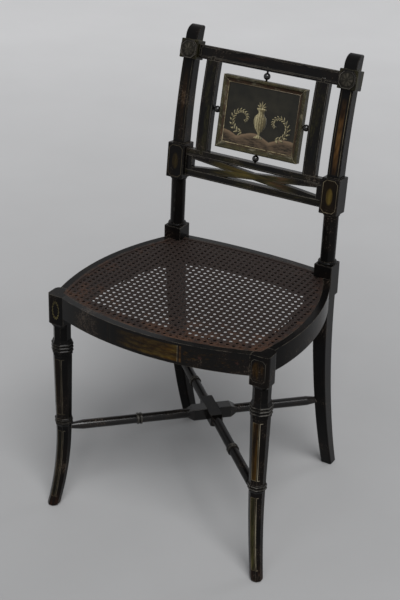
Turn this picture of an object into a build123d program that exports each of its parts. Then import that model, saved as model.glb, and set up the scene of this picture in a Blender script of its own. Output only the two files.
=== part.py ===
# Ebonised side chair with octagonal sabre legs, a bowed caned seat, an X stretcher and an open
# back that holds a small painted tablet on four balls. Millimetres. The origin is on the floor
# below the middle of the chair, +Z is up, and the sitter faces -Y.
import os
from math import asin, atan2, cos, degrees, hypot, radians, sin, sqrt

from build123d import *

# ---------------------------------------------------------------- driving dimensions: the seat
overall_depth = 474.5        # front of the seat to the back of the rear feet
seat_height = 454.0          # floor to the rim
seat_half_width = 228.0      # at the widest place
widest_setback = 164.0       # seat front to the widest place
seat_depth = 408.0           # front of the bow to the back of the bow
front_bow = 522.0            # plan radii of the rails' outer faces
side_bow = 450.0
back_bow = 1143.0
rail_width = 40.0
rail_height = 41.0
rim_width = 13.0             # plain wood outside the cane
cane_bed = 2.4               # how far the wood is sunk under the cane
cane_thickness = 1.8
cane_pitch = 12.2
cane_gap = 5.6               # opening between the strands of the panel
cane_hole = 4.2              # holes through the rails for the strands
binding_width = 5.0
binding_height = 2.2

# ---------------------------------------------------------------- driving dimensions: the legs
leg_x = 206.2                # front leg axis
leg_setback = 56.2           # seat front to the front leg axis
leg_block = 35.0             # square block at the top of the front leg
leg_block_drop = 58.0
block_outset = 1.6           # the block stands this much outward of the leg's axis
block_round = 8.0            # radius of the block's outer front corner
block_side_round = 10.0      # radius of its outer rear corner
block_ease = 2.0             # the block's lower edge turns in this much
block_neck = 8.0             # height of the slope from the block down to the neck
neck_flats = 30.2
neck_flare = 3.0             # the neck widens by this above and below
capital_flats = 38.3
shaft_top_flats = 33.0
shaft_foot_flats = 28.0
mid_ring_flats = 32.2
ankle_flats = 27.2
toe_flats = 22.2
foot_kick = 16.5             # the front foot stands this far outward and forward of the axis
bead_pitch = 6.4
bead_groove = 3.0            # the grooves between beads are this much narrower than the beads
bead_flat = 0.44             # share of a bead's height that stands upright
capital_top = 355.0
mid_ring_top = 194.0
toe_round = 5.0              # the toe turns under to its flat sole with this radius

# ---------------------------------------------------------------- driving dimensions: the posts
post_x = 162.6               # centre of each rear post
seat_to_post = 370.8         # seat front to the line from which the back is set out
post_width = 36.0
post_depth = 36.0
block_proud = 3.0            # the seat and lower blocks stand this far in front of that line
leg_start = 434.0            # below this height the rear leg sweeps back
back_start = 496.0           # above this height the back leans
back_radius = 1130.0
rear_leg_top_width = 31.6
rear_leg_toe_width = 23.0
rear_leg_top_depth = 33.2
rear_leg_toe_depth = 22.5
rear_leg_waist = 191.0       # height at which the leg has lost most of its thickness
rear_leg_waist_width = 24.4
seat_block_rise = 25.0       # the post's square block stands this far above the rim
collar_diameter = 35.5
collar_height = 5.0
column_diameter = 28.0
column_setback = 16.0        # the column's axis behind the back's line
neck_ring_diameter = 32.0
neck_ring_height = 4.0
low_block_bottom = 580.0
low_block_top = 647.5
top_block_bottom = 805.6
top_block_top = 839.7
top_block_depth = 28.4
top_block_proud = 2.4
shaft_width = 25.0
shaft_setback = 4.0
shaft_foot_depth = 26.0
shaft_top_depth = 22.0
finial_width = 25.6
finial_setback = 0.5
finial_depth = 24.0          # from the back's line to the finial's rear face
finial_height = 29.0
finial_straight = 5.0
finial_crown = 5.0           # the roll ends this far in front of the rear face
finial_round = 3.0
edge_ease = 1.0              # small chamfer along exposed square edges
leg_ease = 3.0               # rounding of the rear leg's long edges
sole_ease = 1.5              # small chamfer round its sole

# ---------------------------------------------------------------- driving dimensions: the back
back_recess = 7.0            # rails stand this far behind the blocks' front faces
rail_depth = 13.0
top_rail_low = 809.5
top_rail_high = 834.0
mid_rail_low = 627.8
mid_rail_high = 640.9
lower_rail_low = 586.8
lower_rail_high = 600.0
field_border = 4.0           # raised edges of the top rail
field_depth = 1.2
end_stile_width = 13.0
bar_width = 12.0
bar_depth = 10.0
bar_recess = 1.0             # the X stands this far behind the rails' faces
inner_stile_x = 113.0        # centre of each upright beside the tablet
inner_stile_width = 26.5
inner_stile_depth = 13.0

# ---------------------------------------------------------------- driving dimensions: the tablet
tablet_width = 170.5
tablet_height = 136.6
tablet_middle = 724.0        # height of its centre
moulding_width = 12.0
moulding_depth = 15.0
moulding_ease = 1.5          # chamfer of the moulding's outer edge
hollow_sink = 0.7            # the hollow is this share of the lip's depth deep at its middle
panel_depth = 5.0
panel_sink = 5.0             # panel face behind the moulding's face
moulding_lip = 1.0           # thickness left over the panel's edge
rebate = 4.0                 # the panel's edge runs this far under the moulding
ball_diameter = 13.0
pin_diameter = 4.0
pin_seat = 7.0               # a pin's length inside the wood at each end
patera_thickness = 2.0
patera_margin = 1.2
patera_border = 2.6
boss_diameter = 25.0
boss_rise = 1.6

# ---------------------------------------------------------------- driving dimensions: stretchers
stretcher_height = 172.0
arm_diameter = 18.2
arm_end_diameter = 11.5
arm_taper = 24.0
ring_diameter = 22.5
ring_bead = 6.0              # length of one of the two beads of a ring
ring_share = 0.44            # of the bare arm's length, from the square middle to the ring
cross_block = 24.0
cross_length = 76.0
cross_shoulder = 9.0         # the square dies into the round arm over this length
shoulder_sink = 4.0          # the square's tapered ends are buried this far in the arm
shoulder_overlap = 2.0       # the arms run this far into the legs before they are cut back
dowel_diameter = 8.0
dowel_length = 9.0

# ---------------------------------------------------------------- joinery
pin_clearance = 0.05         # the tablet's pins are driven home
joint_clearance = 0.15       # a tenon is this much smaller than its mortise, each side
joint_end_gap = 0.8          # glue space beyond a tenon's end
soft_clearance = 0.3         # around the cane and its binding
seat_tenon = (10.0, 26.0, 14.0)      # thickness, height, length
back_rail_tenon = (8.0, 26.0, 11.0)
back_tenon_setback = 24.0    # from the block's front face to the middle of the back rail's tenon
rear_tenon_offset = 3.0      # the side rail's rear tenon stands this far outward of the post
rail_tenon = (7.0, 8.0, 13.0)
stile_tenon = (6.0, 15.0, 7.0)

# ---------------------------------------------------------------- places worked out from these
front_y = -overall_depth / 2
leg_y = front_y + leg_setback
post_y = front_y + seat_to_post
widest_y = front_y + widest_setback
back_y = front_y + seat_depth
rail_bottom = seat_height - rail_height
bed_height = seat_height - cane_bed
cane_rows = int(seat_half_width / cane_pitch)
block_low = seat_height - leg_block_drop
block_in = leg_x + block_outset - leg_block / 2
block_back = leg_y - block_outset + leg_block / 2
post_in = post_x - post_width / 2
post_front = post_y - block_proud
kick_start = mid_ring_top - 2.5 * bead_pitch
TOP = (top_rail_low, top_rail_high)
MID = (mid_rail_low, mid_rail_high)
LOWER = (lower_rail_low, lower_rail_high)
BIG = 1000.0                 # larger than the chair, for cutting tools


def arc_lean(radius, run):
    """How far an arc that starts upright has leaned after a vertical run."""
    return radius - sqrt(radius ** 2 - run ** 2)


def arc_radius(reach, run):
    """Radius of the arc that starts upright and leans by reach over a vertical run."""
    return (run ** 2 + reach ** 2) / (2 * reach)


def face_y(z):
    """The line of the back at height z, from which posts and rails are set out."""
    return post_y + arc_lean(back_radius, max(z - back_start, 0))


def leg_front(z):
    """The front of a rear leg at a height below the seat."""
    reach = overall_depth / 2 - rear_leg_toe_depth - post_front
    return post_front + arc_lean(arc_radius(reach, leg_start), leg_start - z)


def leg_rear(z):
    top = post_front + rear_leg_top_depth
    reach = overall_depth / 2 - top
    return top + arc_lean(arc_radius(reach, leg_start), leg_start - z)


def lean(z):
    """The back's lean at height z, in degrees."""
    return degrees(asin(max(z - back_start, 0) / back_radius))


def back_frame(z, depth=0.0, x=0.0):
    """A place on the back, depth behind its front face: Y runs into it and Z up along it."""
    place = Location((x, face_y(z), z), (-lean(z), 0, 0))
    return place * Location((0, depth, 0))


def back_point(z, depth, x=0.0):
    return back_frame(z, depth, x).position


def block(x_size, y_size, z_size):
    """A box that starts at y = 0, centred in x and z."""
    return Box(x_size, y_size, z_size, align=(Align.CENTER, Align.MIN, Align.CENTER))


def tenon(size, slack=0.0):
    """A tongue along +X from its shoulder at x = 0; a mortise is one with slack."""
    thick, tall, long = size
    end = joint_end_gap if slack else 0.0
    body = Box(long + end, thick + 2 * slack, tall + 2 * slack)
    return Pos((long + end) / 2, 0, 0) * body


def mirrored(part):
    return part.mirror(Plane.YZ)


def lofted(sections):
    """Flat-sided solid through octagons or squares given from top to bottom."""
    return loft(sections, ruled=True)


# ================================================================ seat frame
def bows():
    """Centre and radius of the front, right, left and back arcs of the seat's plan."""
    side_x = seat_half_width - side_bow
    return [
        (0, front_y + front_bow, front_bow),
        (side_x, widest_y, side_bow),
        (-side_x, widest_y, side_bow),
        (0, back_y - back_bow, back_bow),
    ]


def inside_seat(x, y, inset):
    return all(hypot(x - cx, y - cy) < radius - inset for cx, cy, radius in bows())


def seat_outline(inset=0.0):
    """Plan of the seat, or of a smaller outline that runs inside it."""
    front, right, left, back = [Pos(x, y) * Circle(r - inset) for x, y, r in bows()]
    return front & right & left & back


def seat_slab(inset, low, high):
    return Pos(0, 0, low) * extrude(seat_outline(inset), high - low)


def frame_ring():
    """The four rails before they are parted, with the sunk bed for the cane."""
    ring = seat_slab(0, rail_bottom, seat_height) - seat_slab(rail_width, rail_bottom - 1, BIG)
    return ring - cane_bed_cut()


def cane_bed_cut():
    return seat_slab(rim_width, bed_height, seat_height + 1)


def cane_hole_places():
    """Where each row of strands meets the line of holes round the seat."""
    inset = rim_width + soft_clearance + binding_width / 2
    line_front = front_bow - inset
    line_side = side_bow - inset
    line_back = back_bow - inset
    places = []
    for k in range(-cane_rows, cane_rows + 1):
        x = k * cane_pitch
        if abs(x) < block_in - cane_hole:
            places.append((x, front_y + front_bow - sqrt(line_front ** 2 - x ** 2)))
        if abs(x) < post_in - cane_hole:
            places.append((x, back_y - back_bow + sqrt(line_back ** 2 - x ** 2)))
    for k in range(-cane_rows, cane_rows + 1):
        y = k * cane_pitch
        if block_back + cane_hole < y < post_front - cane_hole:
            x = seat_half_width - side_bow + sqrt(line_side ** 2 - (y - widest_y) ** 2)
            places += [(x, y), (-x, y)]
    return places


def drill_cane_holes(rail, keep):
    """Bores the holes whose places pass the test."""
    tools = [Pos(x, y, seat_height - rail_height / 2) * Cylinder(cane_hole / 2, rail_height + 2)
             for x, y in cane_hole_places() if keep(x, y)]
    return rail - tools


def seat_tenons(slack=0.0):
    """Tongues of the right half of the frame: front, side front, side rear, back."""
    mid = rail_bottom + (rail_height - cane_bed) / 2
    quarter = leg_block / 4
    front = Pos(block_in, leg_y - block_outset - quarter, mid) * tenon(seat_tenon, slack)
    side_x = leg_x + block_outset + quarter / 2
    forward = Pos(side_x, block_back, mid) * Rot(0, 0, -90) * tenon(seat_tenon, slack)
    rearward = Pos(post_x + rear_tenon_offset, post_front, mid) * Rot(0, 0, 90)
    rearward = rearward * tenon(seat_tenon, slack)
    back = Pos(post_in, post_front + back_tenon_setback, mid) * tenon(back_rail_tenon, slack)
    return front, forward, rearward, back


def front_zone():
    """The front rail's share of the ring: between the blocks, then mitred at 45 degrees."""
    corners = [(block_in, -BIG), (block_in, block_back), (0, block_back + block_in),
               (-block_in, block_back), (-block_in, -BIG)]
    return extrude(make_face(Polyline(*corners, close=True)), BIG)


def seat_rail_front():
    front, _, _, _ = seat_tenons()
    rail = (frame_ring() & front_zone()) + front + mirrored(front)
    return drill_cane_holes(rail, lambda x, y: y < block_back and abs(x) < block_in)


def seat_rail_side():
    """The right-hand rail: it butts the front leg, the end of the front rail and the post."""
    depth = post_front - block_back
    zone = Pos(BIG / 2, (post_front + block_back) / 2, 0) * Box(BIG, depth, 2 * BIG)
    _, forward, rearward, _ = seat_tenons()
    rail = (frame_ring() & zone) - front_zone() + forward + rearward
    return drill_cane_holes(rail, lambda x, y: x > 0 and block_back < y < post_front)


def seat_rail_back():
    """Straight inside and bowed outside, between the posts."""
    depth = back_y - post_front
    bar = Pos(0, post_front + depth / 2, rail_bottom + rail_height / 2)
    bar = bar * Box(2 * post_in, depth, rail_height)
    rail = (bar & seat_slab(0, rail_bottom, seat_height)) - cane_bed_cut()
    _, _, _, back = seat_tenons()
    rail = rail + back + mirrored(back)
    return drill_cane_holes(rail, lambda x, y: y > post_front and abs(x) < post_in)


def post_clearance():
    """The room that the cane and its binding leave round the rear posts."""
    side = post_width + 2 * soft_clearance
    corner = Box(side, BIG, BIG, align=(Align.CENTER, Align.MIN, Align.CENTER))
    right = Pos(post_x, post_front - soft_clearance, 0) * corner
    return right + mirrored(right)


def over_opening(x, y):
    """Whether a gap in the cane lies over the open middle of the frame."""
    return inside_seat(x, y, rail_width + cane_gap) and y < post_front - cane_gap


def cane_panel():
    """The woven field as a pierced sheet that lies on the sunk bed."""
    sheet = seat_outline(rim_width + soft_clearance + binding_width)
    sheet = extrude(sheet, cane_thickness) - post_clearance()
    sheet = sheet.faces().sort_by(Axis.Z)[0]
    steps = [(k + 0.5) * cane_pitch for k in range(-cane_rows, cane_rows)]
    window = Rectangle(cane_gap, cane_gap)
    holes = [(Pos(x, y) * window).wire() for x in steps for y in steps if over_opening(x, y)]
    field = Face(sheet.outer_wire(), holes)
    return Pos(0, 0, bed_height) * extrude(field, cane_thickness, dir=(0, 0, 1))


def cane_binding():
    """A flat strip that covers the holes all round."""
    outer = rim_width + soft_clearance
    top = bed_height + binding_height
    strip = seat_slab(outer, bed_height, top) - seat_slab(outer + binding_width, 0, BIG)
    return (strip - post_clearance()).solids().sort_by(SortBy.VOLUME)


# ================================================================ front legs
def octagon(z, flats, shift=0.0):
    """A level octagon with its flats square to the chair, moved outward and forward by shift."""
    shape = RegularPolygon(flats / 2, 8, major_radius=False, rotation=22.5)
    return Pos(leg_x + shift, leg_y - shift, z) * shape


def bead_sections(top, count, flats, groove):
    """Octagons that make a stack of beads, from the top down."""
    sections = []
    slope = (1 - bead_flat) / 2 * bead_pitch
    for k in range(count):
        high = top - k * bead_pitch
        sections.append((high, flats - groove))
        sections.append((high - slope, flats))
        sections.append((high - bead_pitch + slope, flats))
    sections.append((top - count * bead_pitch, flats - groove))
    return sections


def leg_upper():
    """Neck, capital of four beads, tapering shaft and the pair of beads at its foot."""
    small_bead = capital_flats - bead_groove
    small_bead_top = capital_top - 3 * bead_pitch
    capital_low = capital_top - 4 * bead_pitch
    profile = [(block_low + 1, neck_flats + 1), (block_low - 2 * bead_pitch, neck_flats)]
    profile += [(capital_top + bead_pitch, neck_flats)]
    profile += [(capital_top + bead_pitch / 2, neck_flats + neck_flare)]
    profile += bead_sections(capital_top, 3, capital_flats, bead_groove)
    profile += bead_sections(small_bead_top, 1, small_bead, bead_groove)[1:]
    profile += [(capital_low - 1, shaft_top_flats), (mid_ring_top + 1, shaft_foot_flats)]
    profile += bead_sections(mid_ring_top, 2, mid_ring_flats, bead_groove - edge_ease)
    profile += [(kick_start, ankle_flats)]
    return lofted([octagon(z, flats) for z, flats in profile])


def leg_lower():
    """The sabre foot: the octagon shrinks while it slides out along an arc."""
    steps = 8
    radius = arc_radius(foot_kick, kick_start)
    sections = []
    for k in range(steps + 1):
        z = kick_start + (toe_round - kick_start) * k / steps
        flats = ankle_flats + (toe_flats - ankle_flats) * k / steps
        sections.append(octagon(z, flats, arc_lean(radius, kick_start - z)))
    toe = [sections[-1]]
    for angle in (30, 60, 90):
        z = toe_round * (1 - sin(radians(angle)))
        flats = toe_flats - 2 * toe_round * (1 - cos(radians(angle)))
        toe.append(octagon(z, flats, foot_kick))
    return loft(sections) + lofted(toe)


def rounded_square(side):
    """A square whose corners are rounded like the block's."""
    return RectangleRounded(side, side, block_round)


def leg_block_solid():
    """The block that the seat rails meet, eased below into the neck."""
    x = leg_x + block_outset
    y = leg_y - block_outset
    tall = seat_height - block_low
    body = Pos(x, y, block_low + tall / 2) * Box(leg_block, leg_block, tall)
    front = body.edges().filter_by(Axis.Z).sort_by(lambda e: e.center().X - e.center().Y)[-1]
    body = fillet(front, block_round)
    rear = body.edges().filter_by(Axis.Z).sort_by(lambda e: e.center().X + e.center().Y)[-1]
    body = fillet(rear, block_side_round)
    square = Pos(x, y, block_low) * rounded_square(leg_block - block_ease)
    small = Pos(leg_x, leg_y, block_low - block_neck) * rounded_square(neck_flats - block_ease)
    return body + lofted([square, small])


def front_leg():
    """The right-hand leg with its mortises and the stretcher's bore."""
    front, forward, _, _ = seat_tenons(joint_clearance)
    leg = leg_block_solid() + leg_upper() + leg_lower()
    return leg - front - forward - cane_bed_cut() - stretcher_dowel_front(joint_clearance)


# ================================================================ rear posts
def rear_leg():
    """The sabre leg below the seat: arcs front and back, narrowing towards the toe."""
    top = seat_height - 1
    front = [(0, leg_front(z), z) for z in (leg_start, leg_start / 2, 0)]
    rear = [(0, leg_rear(z), z) for z in (0, leg_start / 2, leg_start)]
    front_top = (0, leg_front(leg_start), top)
    rear_top = (0, leg_rear(leg_start), top)
    outline = [
        Line(front_top, front[0]),
        ThreePointArc(*front),
        Line(front[2], rear[0]),
        ThreePointArc(*rear),
        Line(rear[2], rear_top),
        Line(rear_top, front_top),
    ]
    blade = extrude(make_face(outline), rear_leg_top_width / 2, dir=(1, 0, 0), both=True)
    waist = (rear_leg_waist_width / 2, 0, rear_leg_waist)
    edge_top = (rear_leg_top_width / 2, 0, top)
    edge_toe = (rear_leg_toe_width / 2, 0, 0)
    side = ThreePointArc(edge_top, waist, edge_toe)
    closing = Polyline(edge_toe, (0, 0, 0), (0, 0, top), edge_top)
    plan = extrude(make_face([side, closing]), BIG, dir=(0, 1, 0))
    taper = plan + mirrored(plan)
    leg = blade & taper
    long_edges = [e for e in leg.edges() if e.length > rear_leg_waist]
    leg = fillet(long_edges, leg_ease)
    leg = chamfer(leg.faces().sort_by(Axis.Z)[0].edges(), sole_ease)
    return Pos(post_x, 0, 0) * leg


def post_block(low, high, depth, proud):
    """A square block of the post that leans with the back."""
    body = chamfer(block(post_width, depth, slope_size(low, high)).edges(), edge_ease)
    return back_frame((low + high) / 2, -proud, post_x) * body


def seat_block():
    tall = seat_height + seat_block_rise - rail_bottom
    body = chamfer(block(post_width, post_depth, tall).edges(), edge_ease)
    return Pos(post_x, post_front, rail_bottom + tall / 2) * body


def round_between(low, high, diameter):
    """A turned length of the post between two heights."""
    start = back_point(low, column_setback, post_x)
    end = back_point(high, column_setback, post_x)
    run = end - start
    return extrude(Plane(start, z_dir=run) * Circle(diameter / 2), run.length)


def column():
    """The turned column with its collar below and its neck ring above."""
    foot = seat_height + seat_block_rise
    shaft = round_between(foot - 1, low_block_bottom + 2, column_diameter)
    collar = round_between(foot, foot + collar_height, collar_diameter)
    collar = fillet(collar.edges(), collar_height / 2 - edge_ease / 4)
    ring = round_between(low_block_bottom - neck_ring_height, low_block_bottom + 1,
                         neck_ring_diameter)
    return shaft + collar + ring


def curved_board(low, high, setback, foot_depth, top_depth, width, x):
    """A board sawn to the back's curve, between two heights of its front face."""
    mid = (low + high) / 2
    mid_depth = (foot_depth + top_depth) / 2
    front = [back_point(z, setback) for z in (low, mid, high)]
    rear = [back_point(high, setback + top_depth), back_point(mid, setback + mid_depth),
            back_point(low, setback + foot_depth)]
    outline = [
        ThreePointArc(*front),
        Line(front[2], rear[0]),
        ThreePointArc(*rear),
        Line(rear[2], front[0]),
    ]
    board = extrude(make_face(outline), width / 2, dir=(1, 0, 0), both=True)
    return Pos(x, 0, 0) * board


def post_shaft():
    board = curved_board(low_block_top - 2, top_block_bottom + 2, shaft_setback,
                         shaft_foot_depth, shaft_top_depth, shaft_width, post_x)
    long_edges = [e for e in board.edges() if e.length > (top_block_bottom - low_block_top) / 2]
    return chamfer(long_edges, edge_ease)


def finial():
    """The scroll at the top: upright in front, then rolling over to the back."""
    front = (0, finial_setback, -2)
    spring = (0, finial_setback, finial_straight)
    crown = (0, finial_depth - finial_crown, finial_height)
    rear_top = (0, finial_depth, finial_height - 1)
    rear = (0, finial_depth, -2)
    shoulder = (0, crown[1] - sin(radians(45)) * (crown[1] - spring[1]),
                spring[2] + sin(radians(45)) * (crown[2] - spring[2]))
    outline = [
        Line(front, spring),
        ThreePointArc(spring, shoulder, crown),
        Line(crown, rear_top),
        Line(rear_top, rear),
        Line(rear, front),
    ]
    body = extrude(make_face(outline), finial_width / 2, dir=(1, 0, 0), both=True)
    corner = body.edges().filter_by(Axis.X).sort_by(lambda e: e.center().Y + e.center().Z)[-1]
    body = fillet(corner, finial_round)
    sides = [e for e in body.edges() if abs(e.center().X) > finial_width / 3]
    body = chamfer(sides, edge_ease)
    return back_frame(top_block_top, 0, post_x) * body


def rear_post():
    """The right-hand post, from foot to finial, with its mortises."""
    post = rear_leg() + seat_block() + column() + post_shaft() + finial()
    post = post + post_block(low_block_bottom, low_block_top, post_depth, block_proud)
    post = post + post_block(top_block_bottom, top_block_top, top_block_depth, top_block_proud)
    _, _, rearward, back = seat_tenons(joint_clearance)
    post = post - rearward - back - stretcher_dowel_rear(joint_clearance)
    for rail in (TOP, MID, LOWER):
        post = post - rail_end(rail, joint_clearance)
    return post


# ================================================================ back rails and lattice
def slope_size(low, high):
    """Length along the leaning back between two heights."""
    return (high - low) / cos(radians(lean((low + high) / 2)))


def rail_end(rail, slack=0.0):
    """The tongue at the right-hand end of a back rail."""
    low, high = rail
    thick, tall, long = rail_tenon
    place = back_frame((low + high) / 2, back_recess + rail_depth / 2, post_in)
    return place * tenon((thick, tall, long), slack)


def back_rail(rail):
    low, high = rail
    bar = block(2 * post_in, rail_depth, slope_size(low, high))
    end = rail_end(rail)
    return back_frame((low + high) / 2, back_recess) * bar + end + mirrored(end)


def rail_edge(rail, side, depth=0.0, x=0.0):
    """A frame on the upper (+1) or lower (-1) edge of a rail, its Z along the back."""
    low, high = rail
    place = back_frame((low + high) / 2, depth, x)
    return place * Location((0, 0, side * slope_size(low, high) / 2))


def between(board, rail_below, rail_above):
    """Trims a board to the edges of the rails below and above it."""
    low_cut = rail_edge(rail_below, 1, -BIG / 2) * Pos(0, 0, -BIG / 2) * block(BIG, BIG, BIG)
    high_cut = rail_edge(rail_above, -1, -BIG / 2) * Pos(0, 0, BIG / 2) * block(BIG, BIG, BIG)
    return board - low_cut - high_cut


def stile_end(rail, side, x, slack=0.0):
    """The tongue of an inner stile that enters a rail through its upper or lower edge."""
    place = rail_edge(rail, side, back_recess + inner_stile_depth / 2, x)
    return place * Rot(0, side * 90, 0) * Rot(90, 0, 0) * tenon(stile_tenon, slack)


def top_rail():
    """The crest, with a sunk field between two raised edges."""
    low, high = TOP
    tall = slope_size(low, high) - 2 * field_border
    field = block(2 * (post_in - field_border), 2 * field_depth, tall)
    rail = back_rail(TOP) - back_frame((low + high) / 2, back_recess - field_depth) * field
    for x in (-inner_stile_x, inner_stile_x):
        rail = rail - stile_end(TOP, -1, x, joint_clearance)
    return rail - pin("top", pin_clearance)


def mid_rail():
    rail = back_rail(MID)
    for x in (-inner_stile_x, inner_stile_x):
        rail = rail - stile_end(MID, 1, x, joint_clearance)
    return rail - pin("bottom", pin_clearance)


def inner_stile(side):
    """An upright beside the tablet, with a tongue in each rail and the pin's hole."""
    x = side * inner_stile_x
    board = curved_board(mid_rail_low, top_rail_high, back_recess, inner_stile_depth,
                         inner_stile_depth, inner_stile_width, x)
    stile = between(board, MID, TOP) + stile_end(TOP, -1, x) + stile_end(MID, 1, x)
    return stile - pin("right" if side > 0 else "left", pin_clearance)


def lattice_stile(side):
    x = side * (post_in - end_stile_width / 2)
    board = curved_board(lower_rail_low, mid_rail_high, back_recess, rail_depth,
                         rail_depth, end_stile_width, x)
    return between(board, LOWER, MID)


def diagonal(direction, length, depth, setback):
    """A straight piece on one diagonal of the opening between the two lower rails."""
    half_span = post_in - end_stile_width
    rise = slope_size(lower_rail_high, mid_rail_low)
    angle = direction * degrees(atan2(rise, 2 * half_span))
    place = back_frame((lower_rail_high + mid_rail_low) / 2, back_recess + bar_recess + setback)
    return place * Rot(0, -angle, 0) * block(length, depth, bar_width)


def lattice_bar(direction):
    """One diagonal, trimmed to the opening it fills and lapped over or under the other."""
    half_span = post_in - end_stile_width
    opening = Box(2 * half_span, BIG, 2 * BIG)
    bar = between(diagonal(direction, 3 * half_span, bar_depth, 0) & opening, LOWER, MID)
    setback = 0 if direction > 0 else bar_depth / 2
    return bar - diagonal(-direction, half_span, bar_depth / 2, setback)


# ================================================================ tablet
def tablet_frame(depth=0.0):
    """The middle of the tablet's face, depth behind it."""
    return back_frame(tablet_middle, back_recess + depth)


def moulding_side(length):
    """A mitred length of moulding along X, its outer edge up, its face at y = 0."""
    lip = panel_sink - moulding_lip
    flat = moulding_width / 3
    slope = moulding_width - flat
    hollow = ThreePointArc((0, 0, -flat), (0, hollow_sink * lip, -flat - slope / 2),
                           (0, lip, -moulding_width))
    section = Polyline((0, lip, -moulding_width), (0, panel_sink, -moulding_width),
                       (0, panel_sink, -moulding_width + rebate),
                       (0, moulding_depth, -moulding_width + rebate),
                       (0, moulding_depth, 0), (0, moulding_ease, 0), (0, 0, -moulding_ease),
                       (0, 0, -flat))
    bar = extrude(make_face([hollow, section]), length / 2, dir=(1, 0, 0), both=True)
    cutter = Pos(length / 2, 0, 0) * Rot(0, 45, 0) * Pos(BIG / 2, 0, 0) * Box(BIG, BIG, BIG)
    return bar - cutter - mirrored(cutter)


def tablet_moulding(side):
    """One side of the frame with the hole for its pin."""
    turns = {"top": 0, "right": 90, "bottom": 180, "left": 270}
    upright = side in ("left", "right")
    length = tablet_height if upright else tablet_width
    reach = tablet_width / 2 if upright else tablet_height / 2
    bar = Rot(0, turns[side], 0) * Pos(0, 0, reach) * moulding_side(length)
    return tablet_frame() * bar - pin(side, pin_clearance)


def tablet_panel():
    inner_width = tablet_width - 2 * (moulding_width - rebate) - 2 * joint_clearance
    inner_height = tablet_height - 2 * (moulding_width - rebate) - 2 * joint_clearance
    return tablet_frame(panel_sink) * block(inner_width, panel_depth, inner_height)


def reach_to(rail, side):
    """Distance along the tablet's own plane from its middle to the edge of a rail."""
    edge = Plane(rail_edge(rail, side))
    middle = Plane(tablet_frame(moulding_depth / 2))
    return abs((edge.origin - middle.origin).dot(edge.z_dir) / middle.z_dir.dot(edge.z_dir))


def pin_span(side):
    """Distances from the tablet's middle to its edge and to the wood beyond the ball."""
    if side in ("left", "right"):
        return tablet_width / 2, inner_stile_x - inner_stile_width / 2
    if side == "top":
        return tablet_height / 2, reach_to(TOP, -1)
    return tablet_height / 2, reach_to(MID, 1)


def along(side, distance):
    """A place that far from the tablet's middle towards one side, at mid thickness."""
    directions = {"top": (0, 1), "bottom": (0, -1), "right": (1, 0), "left": (-1, 0)}
    x, z = directions[side]
    return tablet_frame(moulding_depth / 2) * Location((x * distance, 0, z * distance))


def pin(side, slack=0.0):
    edge, wood = pin_span(side)
    length = wood - edge + 2 * pin_seat + 2 * (joint_end_gap if slack else 0)
    rod = Cylinder(pin_diameter / 2 + slack, length)
    if side in ("left", "right"):
        rod = Rot(0, 90, 0) * rod
    return along(side, (edge + wood) / 2) * rod


def tablet_ball(side):
    """A turned ball, bored for the pin that carries it."""
    edge, wood = pin_span(side)
    ball = Sphere(ball_diameter / 2) - Cylinder(pin_diameter / 2 + pin_clearance, ball_diameter)
    if side in ("left", "right"):
        ball = Rot(0, 90, 0) * ball
    return along(side, (edge + wood) / 2) * ball


# ================================================================ paterae
def plate_room(wide, tall):
    """The space in front of the block in which the boss may stand."""
    return Pos(0, patera_thickness - BIG / 2, 0) * Box(wide, BIG, tall)


def patera():
    """A raised octagonal border round a low turned boss on the top block's face."""
    wide = post_width - 2 * patera_margin
    tall = slope_size(top_block_bottom, top_block_top) - 2 * patera_margin
    plate = block(wide, patera_thickness, tall)
    plate = chamfer(plate.edges().filter_by(Axis.Y), wide / 4)
    floor = patera_thickness / 2
    sink = block(wide - 2 * patera_border, floor, tall - 2 * patera_border)
    sink = chamfer(sink.edges().filter_by(Axis.Y), (wide - patera_border) / 4)
    boss = Rot(90, 0, 0) * Cylinder(boss_diameter / 2, 2 * boss_rise)
    boss = fillet(boss.edges().sort_by(Axis.Y)[0], boss_rise / 2)
    middle = (top_block_bottom + top_block_top) / 2
    place = back_frame(middle, -top_block_proud - patera_thickness, post_x)
    return place * (plate - sink + (Pos(0, floor, 0) * boss & plate_room(wide, tall)))


# ================================================================ stretchers
def rear_leg_middle(z):
    """Centre of the rear leg's thickness at a height below the seat."""
    return (leg_front(z) + leg_rear(z)) / 2


def stretcher_run():
    """Length and plan direction from the left front leg to the right rear leg."""
    dx = leg_x + post_x
    dy = rear_leg_middle(stretcher_height) - leg_y
    return hypot(dx, dy), degrees(atan2(dy, dx))


def on_stretcher(shape):
    """Puts a shape drawn along +X from the leg's axis onto the first stretcher's line."""
    _, turn = stretcher_run()
    return Pos(-leg_x, leg_y, stretcher_height) * Rot(0, 0, turn) * shape


def cross_distance():
    length, _ = stretcher_run()
    return length * leg_x / (leg_x + post_x)


def bead_points(middle):
    """Outline of a ring of two beads centred at a distance along the arm."""
    low = arm_diameter / 2
    high = ring_diameter / 2
    points = [(middle - ring_bead, low)]
    for start in (middle - ring_bead, middle):
        points += [(start + 0.2 * ring_bead, high), (start + 0.8 * ring_bead, high)]
        points += [(start + ring_bead, low + 0.3 * (high - low))]
    points[-1] = (middle + ring_bead, low)
    return points


def arm_solid():
    """The turned stick before it is shouldered to the legs."""
    length, _ = stretcher_run()
    cross = cross_distance()
    low, thin = arm_diameter / 2, arm_end_diameter / 2
    start = ankle_flats / 2 - shoulder_overlap
    stop = length - rear_leg_waist_width / 2 + shoulder_overlap
    front_square = cross - cross_length / 2
    rear_square = cross + cross_length / 2
    points = [(start, 0), (start, thin), (start + arm_taper, low)]
    points += bead_points(front_square - ring_share * (front_square - start))
    points += bead_points(rear_square + ring_share * (stop - rear_square))
    points += [(stop - arm_taper, low), (stop, thin), (stop, 0)]
    outline = Polyline(*[(x, 0, r) for x, r in points], close=True)
    return revolve(make_face(outline), Axis.X)


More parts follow.
